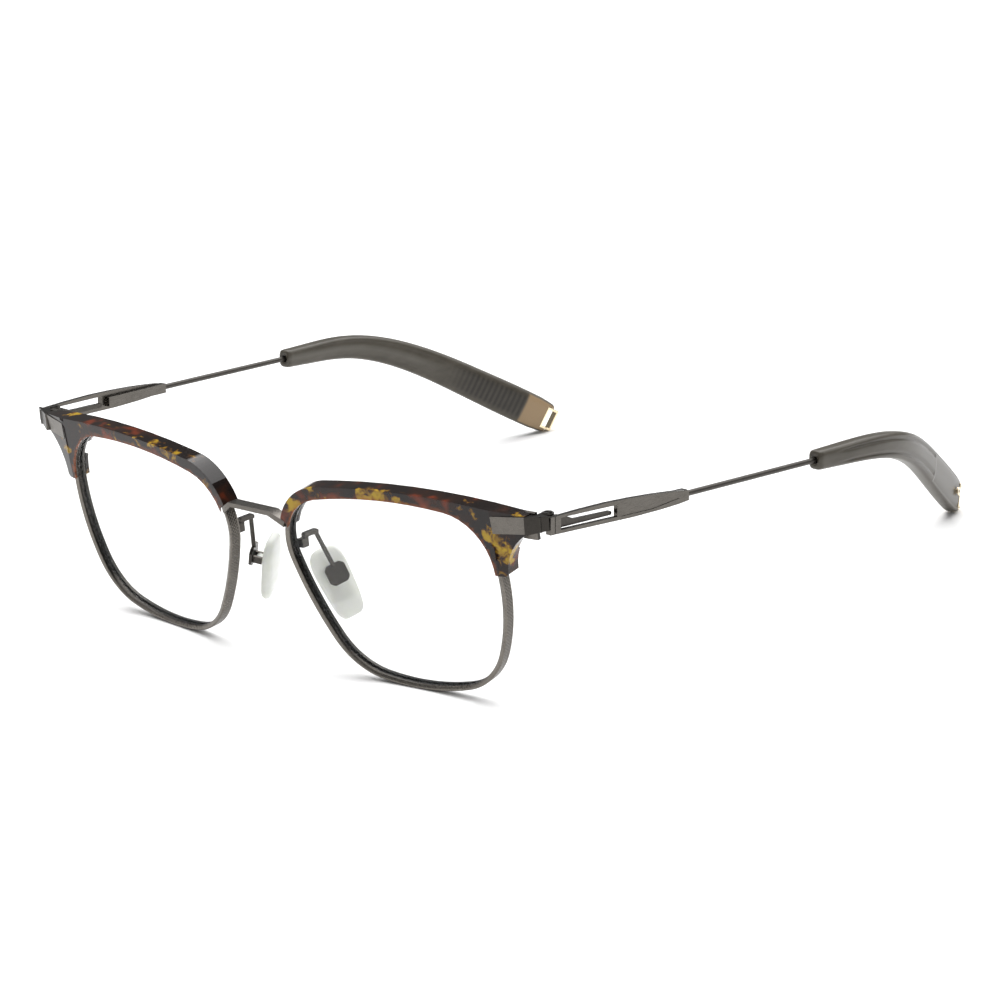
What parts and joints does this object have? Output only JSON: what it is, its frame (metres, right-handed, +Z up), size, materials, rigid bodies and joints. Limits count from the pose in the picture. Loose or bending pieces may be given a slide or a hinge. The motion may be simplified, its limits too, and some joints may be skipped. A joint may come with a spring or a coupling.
{
  "type": "eyeglasses",
  "caption": "Browline eyeglasses with thin metal rims, half-length acetate brow pieces, rocking nose pads and folding metal temples with curved tips.",
  "frame": {"origin": "middle of the bounding box's underside, on the table the open frame stands on", "axes": "+X towards the wearer's left, +Y from the front towards the ears, +Z up; the frame stands open on its lower rims and the ends of its tips"},
  "size_m": [0.1532, 0.1492, 0.0416],
  "materials": {
    "pewter": "brushed warm grey antique pewter",
    "tortoise": "polished dark acetate with amber and red-brown blotches",
    "lens": "clear, anti-reflective",
    "silicone": "milky, slightly translucent silicone",
    "pad_core": "clear moulded core with its lug",
    "smoke": "smoke grey, slightly translucent, polished",
    "gold": "bright pale gold"
  },
  "bodies": {
    "front": {"left_rim": "pewter", "right_rim": "pewter", "left_lens": "lens", "right_lens": "lens", "bridge": "pewter", "left_brow": "tortoise", "right_brow": "tortoise", "left_end_piece": "pewter", "right_end_piece": "pewter", "left_brow_screw": "pewter", "right_brow_screw": "pewter", "left_rim_lock": "pewter", "right_rim_lock": "pewter", "left_rim_screw": "pewter", "right_rim_screw": "pewter", "left_hinge_screw": "pewter", "right_hinge_screw": "pewter", "left_pad_arm": "pewter", "right_pad_arm": "pewter", "left_pad_screw": "pewter", "right_pad_screw": "pewter"},
    "left_temple": {"left_hinge_leaf": "pewter", "left_temple_plate": "pewter", "left_temple_rod": "pewter", "left_tip_core": "pewter", "left_temple_tip": "smoke", "left_tip_cap": "gold", "left_tip_screw": "gold"},
    "right_temple": {"right_hinge_leaf": "pewter", "right_temple_plate": "pewter", "right_temple_rod": "pewter", "right_tip_core": "pewter", "right_temple_tip": "smoke", "right_tip_cap": "gold", "right_tip_screw": "gold"},
    "left_pad": {"left_pad_insert": "pad_core", "left_nose_pad": "silicone"},
    "right_pad": {"right_pad_insert": "pad_core", "right_nose_pad": "silicone"}
  },
  "joints": [
    {"name": "left_temple_fold", "type": "hinge", "parent": "front", "child": "left_temple", "pos_m": [0.0687, -0.06343, 0.0387], "axis": [0, 0, 1], "range_deg": [0, 84]},
    {"name": "right_temple_fold", "type": "hinge", "parent": "front", "child": "right_temple", "pos_m": [-0.0687, -0.06343, 0.0387], "axis": [0, 0, -1], "range_deg": [0, 77]},
    {"name": "left_pad_rock", "type": "hinge", "parent": "front", "child": "left_pad", "pos_m": [0.0109, -0.06303, 0.0173], "axis": [-0.4029, -0.864, -0.302], "range_deg": [-8, 8]},
    {"name": "right_pad_rock", "type": "hinge", "parent": "front", "child": "right_pad", "pos_m": [-0.0109, -0.06303, 0.0173], "axis": [0.4029, -0.864, -0.302], "range_deg": [-8, 8]}
  ]
}
